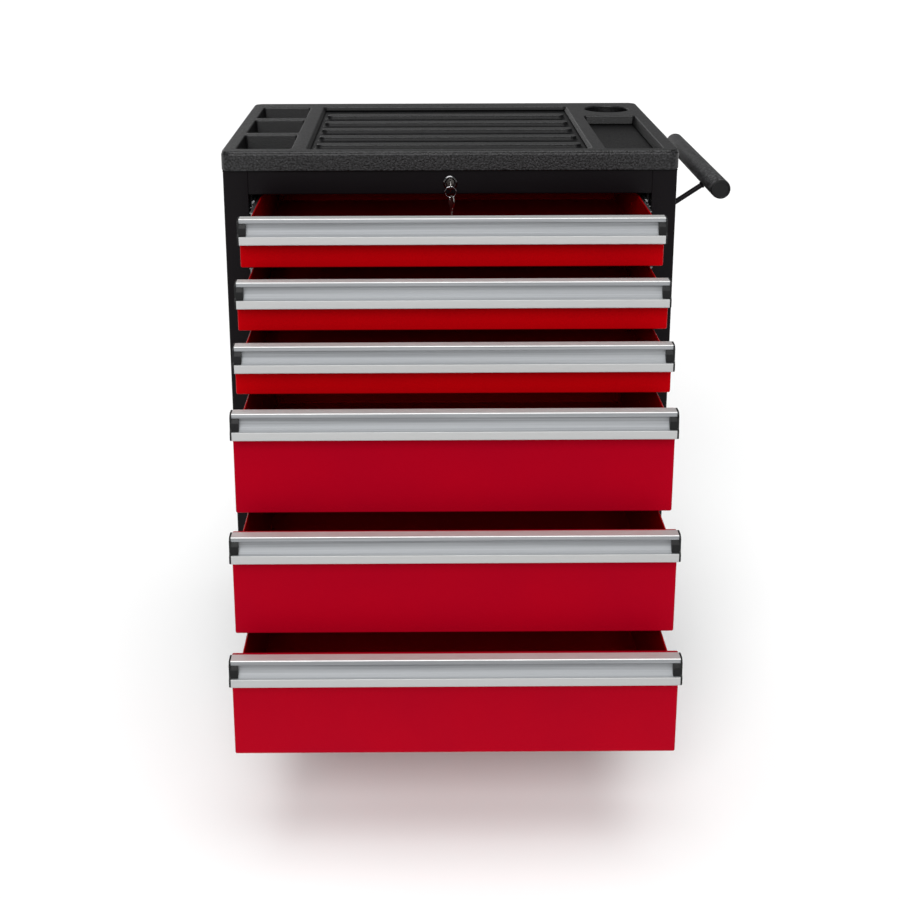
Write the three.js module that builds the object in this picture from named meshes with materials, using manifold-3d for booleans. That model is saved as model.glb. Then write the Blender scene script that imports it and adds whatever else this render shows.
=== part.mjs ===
// Rolling tool chest: a sheet steel cabinet on four casters, with six drawers on ball-bearing
// slides, a moulded tool tray on top, a push handle on the right side and a cam lock with its key.
// Millimetres, +Z up, the front faces -Y and +X is to the right. The cabinet is laid out with x = 0
// on its middle, y = 0 on its front face and z = 0 on the floor; the last lines move the whole chest
// so that the origin lies under the middle of its bounding box.
import * as THREE from 'three';
import { mergeVertices } from 'three/addons/utils/BufferGeometryUtils.js';
import Module from 'manifold-3d';

const wasm = await Module();
wasm.setup();

// ---------------------------------------------------------------- driving dimensions
const GAP = 0.3; // clearance between pieces that rest on each other
const HALF_WIDTH = 340; // cabinet, half its width
const DEPTH = 455; // cabinet, front face to back face
const BOTTOM = 130; // underside of the cabinet, carried by the casters
const DECK = 900; // top face of the cabinet
const SHEET = 1.2; // cabinet sheet steel
const OPENING = 302.5; // half the width of the drawer opening
const RAIL_BOTTOM = 863.2; // lower edge of the rail above the drawers
const SILL_TOP = 169; // upper edge of the rail below the drawers
const RETURN_LIP = 22; // how far the folded edges of the front run back

const TRAY_HALF = 342;
const TRAY_FRONT = -6.5;
const TRAY_BACK = 461.5;
const TRAY_TOP = 930;
const TRAY_WALL = 2.6;

const FRONT_HALF = 300; // drawer front, half its width
const FRONT_GAP = 2.4; // between the fronts
const PAN_DEPTH = 12; // folded edge of a drawer front
const PULL_COVER = 4.5; // how far the pull reaches above the folded front
const DRAWER_SHEET = 1;
const RIM_DROP = 6; // rim of the drawer box below the pull's upper edge
const TUB_LIFT = 5; // underside of the drawer box above the front's lower edge
const STRIKER_BACK = 426;
const STRIKER_HALF = 10;
const STRIKER_SHEET = 1.5;
const TUB_HALF = 285; // drawer box, half its outer width
const TUB_BACK = 412; // back of the drawer box when the drawer is shut
const SMALL_PITCH = 77.1;
const LARGE_PITCH = 154.3;
// Each drawer's lower front edge, the height that it takes, how far it stands open and the height
// of its slides above that edge.
const DRAWERS = [
  { bottom: 787.8, pitch: SMALL_PITCH, open: 139, slide: 42 },
  { bottom: 710.7, pitch: SMALL_PITCH, open: 192, slide: 42 },
  { bottom: 633.6, pitch: SMALL_PITCH, open: 239, slide: 42 },
  { bottom: 479.3, pitch: LARGE_PITCH, open: 291, slide: 80 },
  { bottom: 325.0, pitch: LARGE_PITCH, open: 345, slide: 80 },
  { bottom: 170.7, pitch: LARGE_PITCH, open: 396, slide: 80 },
];

const PULL_HALF = 298.8; // aluminium pull, half its length without the end caps
const CAP_PLATE = 2; // end plate of a cap
const CAP_PLUG = 10; // how far a cap fills the groove
const PULL_OUT = 22.5; // how far the pull stands out in front of the drawer front
const PULL_HEIGHT = 37;

const SLIDE_START = 14; // front end of the slides fixed in the cabinet
const SLIDE_LENGTH = 398;
const POST_SHEET = 1.5; // posts that carry the slides
const POST_FLANGE = 10;
const POST_FACE = 299; // half the clear width between the left and the right posts
// Front and back post: where each one starts, and the way in which its flange runs.
const POSTS = [[26, 1], [412, -1]];
// Sections of the outer members in the cabinet and the inner members on the drawers: the faces of
// the web and the tips of the flanges, half the height, and the thickness of both.
const OUTER_MEMBER = { web: 299.4, webWall: 1.4, tips: 295.4, half: 21, wall: 1.4 };
const INNER_MEMBER = { web: 284.5, webWall: 1.7, tips: 290, half: 17, wall: 1.2 };
// The intermediate members between them: side faces, web and half the height.
const MIDDLE_MEMBER = { faces: [290.4, 295], web: [292, 293.4], half: 18, wall: 1.2 };

const GRIP_X = 407;
const GRIP_Z = 868;
const GRIP_RADIUS = 15;
const GRIP_FRONT = 3;
const GRIP_BACK = 409;
const GRIP_BAR = 8; // radius of the steel bar in the grip
const ROD_Y = [90, 322]; // the two rods that hold the grip
const ROD_RADIUS = 4;
const ROD_FOOT_Z = 822;
const ROD_DROP = 3; // the rods meet the grip's bar this far below its axis

const LOCK_Z = 881;
const FLANGE_RADIUS = 11;
const BARREL_RADIUS = 9.3; // threaded body of the lock
const BARREL_END = 20;
const PLUG_RADIUS = 6.3;
const PIN_RADIUS = 1.5;
const CAM_PIN = 6.4; // how far the lock's driving pin is off its axis
const PIN_OFFSET = -CAM_PIN * Math.SQRT1_2; // the same, along X and along Z
const LOCK_BAR_SHEET = 2;
const HOOK_DROP = 9.5; // unlocked, the hooks lie this far below the strikers

const WHEEL_RADIUS = 50;
const WHEEL_HALF = 15;
const AXLE_RADIUS = 6;
const CASTER_X = 285;
const CASTER_Y = [56, 399]; // front and back pairs
const TRAIL = 32; // a swivel wheel's axle lies this far behind its pivot

// ---------------------------------------------------------------- materials
function finish(color, roughness, metalness) {
  return new THREE.MeshStandardMaterial({ color, roughness, metalness });
}
const blackPaint = finish(0x1c1c1e, 0.55, 0.2);
const redPaint = finish(0xa80012, 0.35, 0.2);
const aluminium = finish(0xb4b8bc, 0.35, 0.9);
const zinc = finish(0x9a9c9e, 0.4, 0.9);
const chrome = finish(0xc8c8c8, 0.15, 1);
const trayPlastic = finish(0x343436, 0.7, 0);
const darkPlastic = finish(0x2d2d30, 0.6, 0);
const foamRubber = finish(0x323234, 0.9, 0);
const tyreRubber = finish(0x1b1b1c, 0.85, 0);

// ---------------------------------------------------------------- shape helpers
function block([x0, x1], [y0, y1], [z0, z1]) {
  const geometry = new THREE.BoxGeometry(x1 - x0, y1 - y0, z1 - z0);
  return geometry.translate((x0 + x1) / 2, (y0 + y1) / 2, (z0 + z1) / 2);
}

// A round bar from one point to another.
function bar(radius, from, to, segments = 24) {
  const start = new THREE.Vector3(...from);
  const run = new THREE.Vector3(...to).sub(start);
  const geometry = new THREE.CylinderGeometry(radius, radius, run.length(), segments);
  geometry.translate(0, run.length() / 2, 0);
  const along = run.clone().normalize();
  const turn = new THREE.Quaternion().setFromUnitVectors(new THREE.Vector3(0, 1, 0), along);
  return geometry.applyQuaternion(turn).translate(start.x, start.y, start.z);
}

// Extrusions of an outline: along X it is drawn in (y, z), along Y in (x, z), along Z in (x, y).
function extrude(shape, length) {
  return new THREE.ExtrudeGeometry(shape, { depth: length, bevelEnabled: false, curveSegments: 4 });
}
function alongX(shape, x0, x1) {
  const turn = new THREE.Matrix4().makeBasis(
    new THREE.Vector3(0, 1, 0),
    new THREE.Vector3(0, 0, 1),
    new THREE.Vector3(1, 0, 0),
  );
  return extrude(shape, x1 - x0).applyMatrix4(turn).translate(x0, 0, 0);
}
function alongY(shape, y0, y1) {
  const turn = new THREE.Matrix4().makeBasis(
    new THREE.Vector3(1, 0, 0),
    new THREE.Vector3(0, 0, 1),
    new THREE.Vector3(0, -1, 0),
  );
  return extrude(shape, y1 - y0).applyMatrix4(turn).translate(0, y1, 0);
}
function alongZ(shape, z0, z1) {
  return extrude(shape, z1 - z0).translate(0, 0, z0);
}
function polygon(points) {
  return new THREE.Shape(points.map(([a, b]) => new THREE.Vector2(a, b)));
}

// A plain outline turned about an upright axis, then laid so that the axis runs along Y.
function turnedAboutY(points, segments) {
  return new THREE.LatheGeometry(points.map(([r, y]) => new THREE.Vector2(r, y)), segments);
}

function solid(geometry) {
  const plain = geometry.clone();
  plain.deleteAttribute('normal');
  plain.deleteAttribute('uv');
  const merged = mergeVertices(plain, 1e-3);
  const vertProperties = Float32Array.from(merged.attributes.position.array);
  const triVerts = Uint32Array.from(merged.index.array);
  return new wasm.Manifold(new wasm.Mesh({ numProp: 3, vertProperties, triVerts }));
}
function surface(manifold) {
  const mesh = manifold.getMesh();
  const geometry = new THREE.BufferGeometry();
  geometry.setAttribute('position', new THREE.BufferAttribute(mesh.vertProperties, 3));
  geometry.setIndex(new THREE.BufferAttribute(mesh.triVerts, 1));
  geometry.computeVertexNormals();
  return geometry;
}
function join(...geometries) {
  return surface(geometries.map(solid).reduce((whole, piece) => whole.add(piece)));
}
function cut(base, ...tools) {
  return surface(tools.map(solid).reduce((whole, tool) => whole.subtract(tool), solid(base)));
}

const chest = new THREE.Group();
function piece(name, geometry, material, parent = chest) {
  const mesh = new THREE.Mesh(geometry, material.clone());
  mesh.name = name;
  parent.add(mesh);
  return mesh;
}

// ---------------------------------------------------------------- cabinet
// A side panel in plan: the wall, the front flange with its return lip, and the back flange.
function sidePanel(side) {
  const wall = HALF_WIDTH - SHEET;
  const outline = [
    [HALF_WIDTH, 0], [OPENING, 0], [OPENING, RETURN_LIP], [OPENING + SHEET, RETURN_LIP],
    [OPENING + SHEET, SHEET], [wall, SHEET], [wall, DEPTH - SHEET],
    [HALF_WIDTH - 20, DEPTH - SHEET], [HALF_WIDTH - 20, DEPTH], [HALF_WIDTH, DEPTH],
  ];
  const shape = polygon(outline.map(([x, y]) => [side * x, y]));
  return alongZ(shape, BOTTOM + SHEET + GAP, DECK - SHEET - GAP);
}

function basePan() {
  const sill = polygon([
    [0, BOTTOM], [RETURN_LIP, BOTTOM], [RETURN_LIP, BOTTOM + SHEET], [SHEET, BOTTOM + SHEET],
    [SHEET, SILL_TOP - SHEET], [RETURN_LIP, SILL_TOP - SHEET], [RETURN_LIP, SILL_TOP], [0, SILL_TOP],
  ]);
  const floor = block([-HALF_WIDTH, HALF_WIDTH], [0, DEPTH], [BOTTOM, BOTTOM + SHEET]);
  return join(floor, alongX(sill, GAP - OPENING, OPENING - GAP));
}

function topRail() {
  const top = DECK - SHEET - GAP;
  const section = polygon([
    [0, RAIL_BOTTOM], [RETURN_LIP, RAIL_BOTTOM], [RETURN_LIP, RAIL_BOTTOM + SHEET],
    [SHEET, RAIL_BOTTOM + SHEET], [SHEET, top], [0, top],
  ]);
  const lockHole = bar(BARREL_RADIUS + GAP, [0, -1, LOCK_Z], [0, 3, LOCK_Z]);
  return cut(alongX(section, GAP - OPENING, OPENING - GAP), lockHole);
}

function backPanel() {
  const half = HALF_WIDTH - SHEET - GAP;
  const back = DEPTH - SHEET - GAP;
  return block([-half, half], [back - SHEET, back], [BOTTOM + SHEET + GAP, DECK - SHEET - GAP]);
}

// A slide member in section: a channel whose flanges run from its web to their tips.
function channel(side, z, { web, webWall, tips, half, wall }) {
  const face = web + Math.sign(tips - web) * webWall;
  const section = [
    [tips, half], [web, half], [web, -half], [tips, -half],
    [tips, wall - half], [face, wall - half], [face, half - wall], [tips, half - wall],
  ];
  return polygon(section.map(([x, h]) => [side * x, z + h]));
}

// Two posts and the six outer slide members that they carry, welded together.
function slideRack(side) {
  const low = BOTTOM + SHEET + GAP;
  const high = DECK - SHEET - GAP;
  const wall = HALF_WIDTH - SHEET - GAP;
  const inner = POST_FACE + POST_SHEET;
  const posts = POSTS.map(([y, way]) => {
    const plan = [
      [POST_FACE, y], [wall, y], [wall, y + way * POST_SHEET], [inner, y + way * POST_SHEET],
      [inner, y + way * POST_FLANGE], [POST_FACE, y + way * POST_FLANGE],
    ];
    return alongZ(polygon(plan.map(([x, v]) => [side * x, v])), low, high);
  });
  const members = DRAWERS.map(({ bottom, slide }) => (
    alongY(channel(side, bottom + slide, OUTER_MEMBER), SLIDE_START, SLIDE_START + SLIDE_LENGTH)
  ));
  return join(...posts, ...members);
}

piece('side_panel_left', sidePanel(-1), blackPaint);
piece('side_panel_right', sidePanel(1), blackPaint);
piece('back_panel', backPanel(), blackPaint);
piece('base_pan', basePan(), blackPaint);
piece('front_top_rail', topRail(), blackPaint);
piece('top_deck', block([-HALF_WIDTH, HALF_WIDTH], [0, DEPTH], [DECK - SHEET, DECK]), blackPaint);
piece('slide_rack_left', slideRack(-1), zinc);
piece('slide_rack_right', slideRack(1), zinc);

// ---------------------------------------------------------------- top tray
// Pockets as [x range, y range, depth]; the cup holder is round.
const POCKETS = [
  [[-321, -238], [17, 136], 24],
  [[-321, -238], [157, 280], 24],
  [[-321, -238], [302, 415], 24],
  [[-215, 213], [12, 420], 8],
  [[233, 320], [10, 316], 16],
];
const CUP = { x: 281, y: 390, radius: 38, depth: 22 };
const RIB_CENTRES = [62, 130, 198, 266, 338];
const RIB_WIDTH = 20;
const RIB_END = 12; // the ribs stop this far from the walls of their recess

function roundedOutline(half, front, back, radius) {
  const shape = new THREE.Shape();
  shape.moveTo(-half + radius, front);
  shape.lineTo(half - radius, front);
  shape.absarc(half - radius, front + radius, radius, -Math.PI / 2, 0);
  shape.lineTo(half, back - radius);
  shape.absarc(half - radius, back - radius, radius, 0, Math.PI / 2);
  shape.lineTo(-half + radius, back);
  shape.absarc(-half + radius, back - radius, radius, Math.PI / 2, Math.PI);
  shape.lineTo(-half, front + radius);
  shape.absarc(-half + radius, front + radius, radius, Math.PI, Math.PI * 1.5);
  return shape;
}

function topTray() {
  const low = DECK + GAP;
  const inside = TRAY_WALL + 0.4;
  const outer = alongZ(roundedOutline(TRAY_HALF, TRAY_FRONT, TRAY_BACK, 14), low, TRAY_TOP);
  const hollow = alongZ(
    roundedOutline(TRAY_HALF - inside, TRAY_FRONT + inside, TRAY_BACK - inside, 11),
    low - 1,
    TRAY_TOP - TRAY_WALL,
  );
  const grow = ([a, b]) => [a - TRAY_WALL, b + TRAY_WALL];
  const shells = POCKETS.map(([x, y, depth]) => (
    block(grow(x), grow(y), [TRAY_TOP - depth - TRAY_WALL, TRAY_TOP - 1])
  ));
  const cupShell = bar(
    CUP.radius + TRAY_WALL,
    [CUP.x, CUP.y, TRAY_TOP - CUP.depth - TRAY_WALL],
    [CUP.x, CUP.y, TRAY_TOP - 1],
    32,
  );
  const hollows = POCKETS.map(([x, y, depth]) => block(x, y, [TRAY_TOP - depth, TRAY_TOP + 1]));
  const cup = bar(
    CUP.radius,
    [CUP.x, CUP.y, TRAY_TOP - CUP.depth],
    [CUP.x, CUP.y, TRAY_TOP + 1],
    32,
  );
  const [[x0, x1], , matDepth] = POCKETS[3];
  const ribs = RIB_CENTRES.map((y) => block(
    [x0 + RIB_END, x1 - RIB_END],
    [y - RIB_WIDTH / 2, y + RIB_WIDTH / 2],
    [TRAY_TOP - matDepth - 1, TRAY_TOP - 1],
  ));
  const shell = cut(outer, hollow);
  const pocketed = cut(join(shell, ...shells, cupShell), ...hollows, cup);
  return join(pocketed, ...ribs);
}
piece('top_tray', topTray(), trayPlastic);

// ---------------------------------------------------------------- push handle
function handleFrame() {
  const core = bar(GRIP_BAR, [GRIP_X, GRIP_FRONT + 6, GRIP_Z], [GRIP_X, GRIP_BACK - 6, GRIP_Z]);
  const side = HALF_WIDTH + GAP;
  const arms = ROD_Y.map((y) => join(
    bar(ROD_RADIUS, [side + 2.9, y, ROD_FOOT_Z], [GRIP_X, y, GRIP_Z - ROD_DROP], 16),
    block([side, side + 3], [y - 26, y + 26], [ROD_FOOT_Z - 16, ROD_FOOT_Z + 16]),
  ));
  return join(core, ...arms);
}
function handleGrip() {
  const sleeve = bar(GRIP_RADIUS, [GRIP_X, GRIP_FRONT + 2, GRIP_Z], [GRIP_X, GRIP_BACK - 2, GRIP_Z]);
  const bore = bar(GRIP_BAR + GAP, [GRIP_X, GRIP_FRONT, GRIP_Z], [GRIP_X, GRIP_BACK, GRIP_Z], 16);
  const slots = ROD_Y.map((y) => (
    bar(ROD_RADIUS + GAP, [HALF_WIDTH, y, ROD_FOOT_Z], [GRIP_X, y, GRIP_Z - ROD_DROP], 16)
  ));
  return cut(sleeve, bore, ...slots);
}
// A plug that closes the end of the grip; way is the direction in which it points out.
function gripCap(y, way) {
  return join(
    bar(GRIP_RADIUS - 0.4, [GRIP_X, y, GRIP_Z], [GRIP_X, y - way * (2 - GAP), GRIP_Z]),
    bar(GRIP_BAR - 0.5, [GRIP_X, y - way, GRIP_Z], [GRIP_X, y - way * 5.5, GRIP_Z], 12),
  );
}
piece('handle_frame', handleFrame(), blackPaint);
piece('handle_grip', handleGrip(), foamRubber);
piece('grip_cap_front', gripCap(GRIP_FRONT, -1), darkPlastic);
piece('grip_cap_back', gripCap(GRIP_BACK, 1), darkPlastic);

// ---------------------------------------------------------------- lock, keys and lock bar
const RING = { radius: 8, wire: 0.8, y: -28, top: 880.3 };
const KEYWAY = { half: 1.1, reach: 4 };

function lockHousing() {
  const outer = join(
    bar(FLANGE_RADIUS, [0, -3, LOCK_Z], [0, -GAP, LOCK_Z]),
    bar(BARREL_RADIUS, [0, -1, LOCK_Z], [0, BARREL_END, LOCK_Z]),
  );
  return cut(outer, bar(PLUG_RADIUS + GAP, [0, -4, LOCK_Z], [0, BARREL_END + 1, LOCK_Z]));
}
function lockPlug() {
  const pin = [PIN_OFFSET, BARREL_END + 3, LOCK_Z + PIN_OFFSET];
  const pinEnd = [PIN_OFFSET, BARREL_END + 10, LOCK_Z + PIN_OFFSET];
  const body = join(
    bar(PLUG_RADIUS, [0, -3.4, LOCK_Z], [0, BARREL_END + 3, LOCK_Z]),
    bar(BARREL_RADIUS - GAP, [0, BARREL_END + 1, LOCK_Z], [0, BARREL_END + 4, LOCK_Z]),
    bar(PIN_RADIUS, pin, pinEnd, 16),
  );
  const keyway = block(
    [-KEYWAY.half, KEYWAY.half],
    [-4, 17],
    [LOCK_Z - KEYWAY.reach, LOCK_Z + KEYWAY.reach],
  );
  return cut(body, keyway);
}

// The key stands upright in the lock, with its bow in front of the flange.
const KEY = { half: 0.8, bladeHalf: 3.4, bladeLength: 27, bow: 9, holeRadius: 2.6, holeToBlade: 12 };

function key() {
  const shape = new THREE.Shape();
  shape.moveTo(KEY.bladeLength, -KEY.bladeHalf);
  shape.lineTo(KEY.bladeLength, KEY.bladeHalf);
  shape.lineTo(0, KEY.bladeHalf);
  shape.absarc(1 - KEY.bow, 0, KEY.bow, Math.PI / 6, Math.PI * 11 / 6);
  shape.lineTo(0, -KEY.bladeHalf);
  const hole = new THREE.Path();
  hole.absarc(-KEY.holeToBlade, 0, KEY.holeRadius, 0, Math.PI * 2);
  shape.holes.push(hole);
  return alongX(shape, -KEY.half, KEY.half).translate(0, RING.y + KEY.holeToBlade, LOCK_Z);
}
function keyRing() {
  const ring = new THREE.TorusGeometry(RING.radius, RING.wire, 6, 24);
  return ring.rotateX(Math.PI / 2).translate(0, RING.y, RING.top - RING.radius);
}

// The lock bar: a slotted plate on the lock's pin, an arm that runs back over the drawers, and a
// strip down the back with one hook for each drawer.
function lockBar() {
  const pinZ = LOCK_Z + PIN_OFFSET;
  const high = LOCK_Z + 7;
  const front = BARREL_END + 5.5;
  const back = STRIKER_BACK + 14;
  const plate = cut(
    block([-14, 2], [front, front + LOCK_BAR_SHEET], [pinZ - 6, high]),
    block([PIN_OFFSET - 4, PIN_OFFSET + 4], [front - 1, front + 3], [pinZ - 2.6, pinZ + 2.6]),
  );
  const arm = block([-7, 1], [front + 0.5, back], [high - 4, high]);
  const strip = block([-9, 9], [back - LOCK_BAR_SHEET, back], [DRAWERS[5].bottom + 20, high]);
  const hookTip = STRIKER_BACK - STRIKER_HALF;
  const hooks = DRAWERS.map((drawer) => {
    const tip = tubTop(drawer) - 2 - HOOK_DROP;
    return join(
      block([-8, 8], [hookTip, back - 1], [tip - 6, tip - 4.5]),
      block([-8, 8], [hookTip, hookTip + LOCK_BAR_SHEET], [tip - 6, tip]),
    );
  });
  return join(plate, arm, strip, ...hooks);
}

// ---------------------------------------------------------------- drawers
function tubTop({ bottom, pitch }) {
  return bottom + pitch - FRONT_GAP - RIM_DROP;
}

// The drawer box with its folded front, striker and inner slide members, drawn shut.
function drawerBox(drawer) {
  const { bottom, pitch, slide } = drawer;
  const top = bottom + pitch - FRONT_GAP - PULL_COVER;
  const rim = tubTop(drawer);
  const t = DRAWER_SHEET;
  const pan = cut(
    block([-FRONT_HALF, FRONT_HALF], [0, PAN_DEPTH], [bottom, top]),
    block([t - FRONT_HALF, FRONT_HALF - t], [t, PAN_DEPTH + 1], [bottom + t, top - t]),
  );
  const under = bottom + TUB_LIFT;
  const tub = cut(
    block([-TUB_HALF, TUB_HALF], [t / 2, TUB_BACK], [under, rim]),
    block([t - TUB_HALF, TUB_HALF - t], [PAN_DEPTH + t, TUB_BACK - t], [under + t, rim + 1]),
    block([t - TUB_HALF, TUB_HALF - t], [-t, PAN_DEPTH], [under + t, rim + 1]),
  );
  const across = [-STRIKER_HALF, STRIKER_HALF];
  const high = rim - 0.5;
  const striker = join(
    block(across, [TUB_BACK - t, STRIKER_BACK], [high - STRIKER_SHEET, high]),
    block(across, [STRIKER_BACK - STRIKER_SHEET, STRIKER_BACK], [rim - 10, high]),
  );
  const members = [-1, 1].map((side) => (
    alongY(channel(side, bottom + slide, INNER_MEMBER), PAN_DEPTH + 1, TUB_BACK)
  ));
  return join(pan, tub, striker, ...members);
}

// The pull in section, (y, z) from the front's face and the top edge: a flat top with a lip, a
// hollow groove for the fingertips, and a deep lower band that the fingers hook behind.
function pullSection() {
  const shape = new THREE.Shape();
  shape.moveTo(-GAP, 0);
  shape.lineTo(-15.6, 0);
  shape.quadraticCurveTo(-17, 0, -17, -1.4);
  shape.lineTo(-17, -6.4);
  shape.lineTo(-13.4, -7.2);
  shape.bezierCurveTo(-11, -13, -12.5, -22.5, -20, -25);
  shape.lineTo(-PULL_OUT, -25.4);
  shape.lineTo(-PULL_OUT, 1.4 - PULL_HEIGHT);
  shape.quadraticCurveTo(-PULL_OUT, -PULL_HEIGHT, 1.4 - PULL_OUT, -PULL_HEIGHT);
  shape.lineTo(2 - PULL_OUT, -PULL_HEIGHT);
  shape.lineTo(2 - PULL_OUT, -27.2);
  shape.lineTo(-18.4, -26.6);
  shape.bezierCurveTo(-10.6, -23.4, -9, -13.5, -11, -7);
  shape.lineTo(-11, -1.8);
  shape.lineTo(-2, -1.8);
  shape.lineTo(-2, -30);
  shape.lineTo(-GAP, -30);
  return shape;
}
function capPlate() {
  const shape = new THREE.Shape();
  shape.moveTo(-GAP, 0);
  shape.lineTo(-13, 0);
  shape.quadraticCurveTo(-18.5, 0, -18.5, -5.5);
  shape.lineTo(-19.5, -22);
  shape.lineTo(-PULL_OUT, -25.4);
  shape.lineTo(-PULL_OUT, 2 - PULL_HEIGHT);
  shape.quadraticCurveTo(-PULL_OUT, -PULL_HEIGHT, 2 - PULL_OUT, -PULL_HEIGHT);
  shape.lineTo(-GAP, -PULL_HEIGHT);
  return shape;
}
function capPlug() {
  return polygon([[-11.5, -6.5], [-16.6, -6.2], [-18, -15], [-19.5, -25.2], [-12.5, -21]]);
}
function drawerPull({ bottom, pitch }) {
  const ends = [-1, 1].flatMap((side) => {
    const range = (a, b) => (side > 0 ? [a, b] : [-b, -a]);
    return [
      alongX(capPlate(), ...range(PULL_HALF - 0.5, PULL_HALF + CAP_PLATE)),
      alongX(capPlug(), ...range(PULL_HALF - CAP_PLUG, PULL_HALF)),
    ];
  });
  const pull = join(alongX(pullSection(), -PULL_HALF, PULL_HALF), ...ends);
  return pull.translate(0, 0, bottom + pitch - FRONT_GAP);
}

// An intermediate slide member, drawn with the drawer shut.
function middleMember(side, z) {
  const { faces: [near, far], web: [webNear, webFar], half, wall } = MIDDLE_MEMBER;
  const step = half - wall;
  const section = [
    [near, half], [far, half], [far, step], [webFar, step], [webFar, -step], [far, -step],
    [far, -half], [near, -half], [near, -step], [webNear, -step], [webNear, step], [near, step],
  ];
  const shape = polygon(section.map(([x, h]) => [side * x, z + h]));
  return alongY(shape, SLIDE_START + 2, SLIDE_START + SLIDE_LENGTH - 18);
}

DRAWERS.forEach((drawer, index) => {
  const name = `drawer_${index + 1}`;
  const moved = new THREE.Group();
  moved.position.y = -drawer.open;
  chest.add(moved);
  piece(`${name}_box`, drawerBox(drawer), redPaint, moved);
  piece(`${name}_pull`, drawerPull(drawer), aluminium, moved);
  const halfway = new THREE.Group();
  halfway.position.y = -drawer.open / 2;
  chest.add(halfway);
  const z = drawer.bottom + drawer.slide;
  piece(`${name}_slide_left`, middleMember(-1, z), zinc, halfway);
  piece(`${name}_slide_right`, middleMember(1, z), zinc, halfway);
});

piece('lock_housing', lockHousing(), chrome);
piece('lock_plug', lockPlug(), chrome);
piece('key', key(), chrome);
piece('key_ring', keyRing(), chrome);
piece('lock_bar', lockBar(), zinc);

// ---------------------------------------------------------------- casters
const PLATE_TOP = BOTTOM - GAP;
const PLATE = { x: [-45, 45], y: [-32, 32], z: [PLATE_TOP - 3, PLATE_TOP] };
const RACE_RADIUS = 27; // ball race of a swivel caster
const RACE_Z = 120; // between its lower and its upper half
const PEDAL_PIN = 2; // radius
const CHEEK = [WHEEL_HALF + 2, WHEEL_HALF + 4.5]; // inner and outer face of a fork cheek

// A wheel about the Y axis at the origin: rounded tread, dished sides and a hub.
function wheel() {
  const outline = [
    [AXLE_RADIUS + GAP, -WHEEL_HALF], [15, -WHEEL_HALF], [15, -9], [35, -9], [37, -13],
    [46, -13], [WHEEL_RADIUS, -8], [WHEEL_RADIUS, 8], [46, 13], [37, 13], [35, 9], [15, 9],
    [15, WHEEL_HALF], [AXLE_RADIUS + GAP, WHEEL_HALF], [AXLE_RADIUS + GAP, -WHEEL_HALF],
  ];
  return surface(solid(turnedAboutY(outline, 32)));
}
function axle() {
  const ends = [-1, 1].map((way) => (
    bar(9.5, [0, way * (CHEEK[1] + GAP), 0], [0, way * (CHEEK[1] + 5), 0], 6)
  ));
  return join(bar(AXLE_RADIUS, [0, -CHEEK[1] - 3, 0], [0, CHEEK[1] + 3, 0], 24), ...ends);
}
function cheeks(outline) {
  const shape = polygon(outline);
  return [alongY(shape, -CHEEK[1], -CHEEK[0]), alongY(shape, CHEEK[0], CHEEK[1])];
}
function axleHole(x) {
  return bar(AXLE_RADIUS + GAP, [x, -CHEEK[1] - 1, WHEEL_RADIUS], [x, CHEEK[1] + 1, WHEEL_RADIUS], 24);
}
function fixedBracket() {
  const sides = cheeks([
    [-36, PLATE_TOP - 1], [36, PLATE_TOP - 1], [15, WHEEL_RADIUS], [10, 38], [-10, 38],
    [-15, WHEEL_RADIUS],
  ]);
  return cut(join(block(PLATE.x, PLATE.y, PLATE.z), ...sides), axleHole(0));
}
function swivelPlate() {
  return join(
    block(PLATE.x, PLATE.y, PLATE.z),
    bar(RACE_RADIUS, [0, 0, RACE_Z], [0, 0, PLATE_TOP - 1]),
  );
}
// The pedal turns on a pin through the top of the fork, behind the wheel.
const PEDAL_PIVOT = [-TRAIL - 28, 104];

function swivelFork() {
  const [px, pz] = PEDAL_PIVOT;
  const sides = cheeks([
    [RACE_RADIUS, RACE_Z - 1], [-40, RACE_Z - 1], [px - 6, pz + 5], [px - 6, pz - 6],
    [-TRAIL - 16, WHEEL_RADIUS],
    [-TRAIL - 10, 38], [10 - TRAIL, 38], [16 - TRAIL, WHEEL_RADIUS], [24, 104],
  ]);
  const crown = bar(RACE_RADIUS, [0, 0, RACE_Z - 8], [0, 0, RACE_Z - GAP]);
  const pin = bar(PEDAL_PIN, [px, -CHEEK[1] + 0.5, pz], [px, CHEEK[1] - 0.5, pz], 12);
  return join(cut(join(crown, ...sides), axleHole(-TRAIL)), pin);
}
function brakePedal() {
  const [px, pz] = PEDAL_PIVOT;
  const lever = alongY(polygon([
    [px + 5, pz + 5], [px - 12, pz + 5], [px - 36, pz - 5], [px - 38, pz - 9],
    [px - 34, pz - 8], [px - 12, pz + 1], [px - 8, pz - 11], [px - 4, pz - 11], [px + 4, pz - 2],
  ]), -13, 13);
  const barrel = bar(5, [px, -16.6, pz], [px, 16.6, pz], 20);
  const hole = bar(PEDAL_PIN + GAP, [px, -18, pz], [px, 18, pz], 16);
  return cut(join(lever, barrel), hole);
}

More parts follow.
